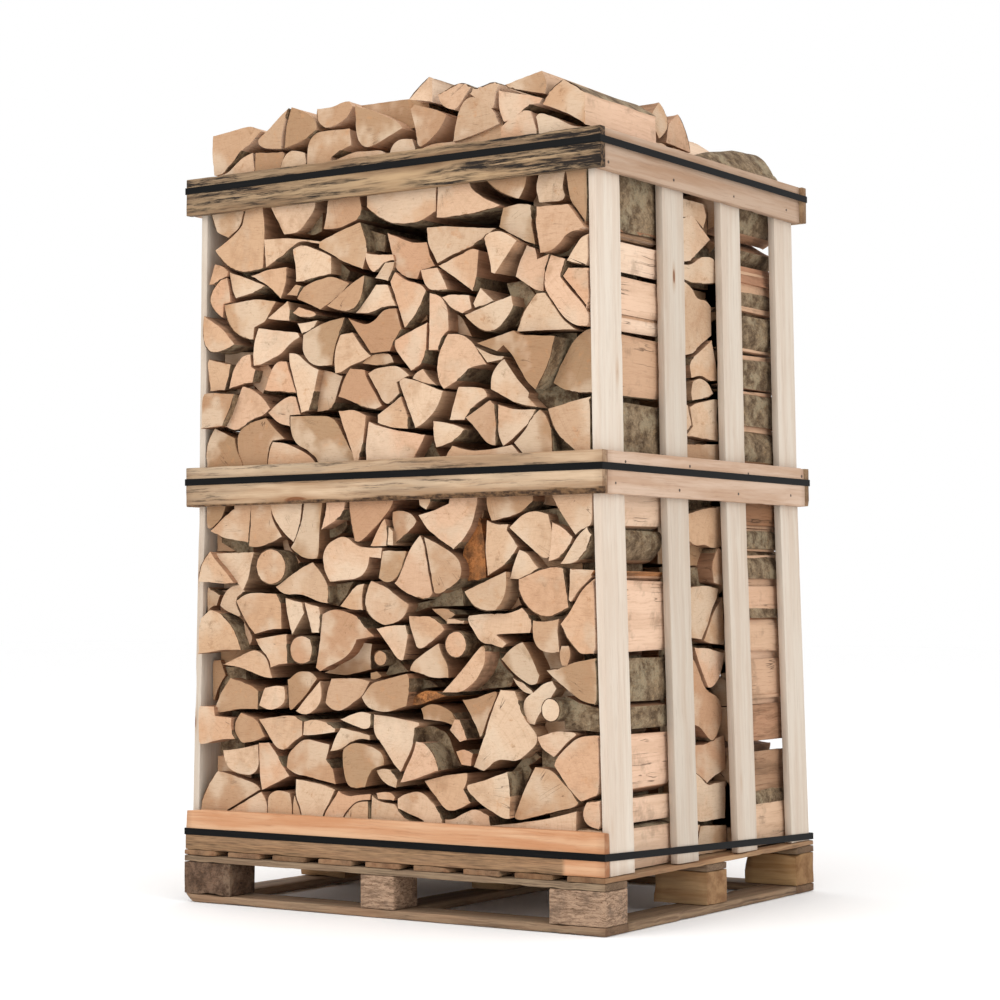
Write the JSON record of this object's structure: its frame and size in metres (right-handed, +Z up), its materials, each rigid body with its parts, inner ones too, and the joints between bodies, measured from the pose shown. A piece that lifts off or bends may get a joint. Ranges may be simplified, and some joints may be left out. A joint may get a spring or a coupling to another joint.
{
  "type": "crated pallet of firewood",
  "caption": "Timber pallet with a slatted crate held by plastic straps, stacked and heaped with split firewood logs",
  "frame": {"origin": "centre of the pallet's underside, on the ground", "axes": "+X along the front where the log ends show, +Y into the depth, +Z up"},
  "size_m": [1.2, 1, 1.9432],
  "materials": {
    "base_timber": "sawn timber",
    "block_timber": "sawn timber",
    "block_pressed": "sawn timber",
    "block_bark": "sawn timber",
    "stringer_timber": "sawn timber",
    "deck_timber": "sawn timber",
    "rail_bottom_timber": "sawn timber",
    "rail_middle_timber": "sawn timber",
    "rail_top_timber": "weathered sawn board",
    "rail_back_timber": "sawn timber",
    "side_rail_timber": "sawn timber",
    "slat_timber": "planed spruce",
    "strap_plastic": "smooth plastic band with a soft sheen",
    "split_firewood": "sawn and split beech with rough bark"
  },
  "bodies": {
    "root": {"base_board_front": "base_timber", "base_board_back": "base_timber", "base_board_left": "base_timber", "base_board_right": "base_timber", "base_board_centre": "base_timber", "block_front_left": "block_bark", "block_front_centre": "block_pressed", "block_front_right": "block_pressed", "block_middle_left": "block_timber", "block_middle_centre": "block_timber", "block_middle_right": "block_timber", "block_back_left": "block_timber", "block_back_centre": "block_timber", "block_back_right": "block_timber", "stringer_front": "stringer_timber", "stringer_middle": "stringer_timber", "stringer_back": "stringer_timber", "deck_board_1": "deck_timber", "deck_board_2": "deck_timber", "deck_board_3": "deck_timber", "deck_board_4": "deck_timber", "deck_board_5": "deck_timber", "deck_board_6": "deck_timber", "deck_board_7": "deck_timber", "deck_board_8": "deck_timber", "deck_board_9": "deck_timber", "front_rail_bottom": "rail_bottom_timber", "front_rail_middle": "rail_middle_timber", "front_rail_top": "rail_top_timber", "back_rail_bottom": "rail_back_timber", "back_rail_middle": "rail_back_timber", "back_rail_top": "rail_back_timber", "side_rail_left_middle": "side_rail_timber", "side_rail_left_top": "side_rail_timber", "side_rail_right_middle": "side_rail_timber", "side_rail_right_top": "side_rail_timber", "slat_left_1": "slat_timber", "slat_left_2": "slat_timber", "slat_left_3": "slat_timber", "slat_left_4": "slat_timber", "slat_right_1": "slat_timber", "slat_right_2": "slat_timber", "slat_right_3": "slat_timber", "slat_right_4": "slat_timber", "strap_bottom": "strap_plastic", "strap_middle": "strap_plastic", "strap_top": "strap_plastic", "front_log_row": "split_firewood", "back_log_row": "split_firewood", "middle_log_row": "split_firewood", "heap_log_1": "split_firewood", "heap_log_2": "split_firewood", "heap_log_3": "split_firewood", "heap_log_4": "split_firewood", "heap_log_5": "split_firewood", "heap_log_6": "split_firewood", "heap_log_7": "split_firewood", "heap_log_8": "split_firewood", "heap_log_9": "split_firewood", "heap_log_10": "split_firewood"}
  },
  "joints": []
}
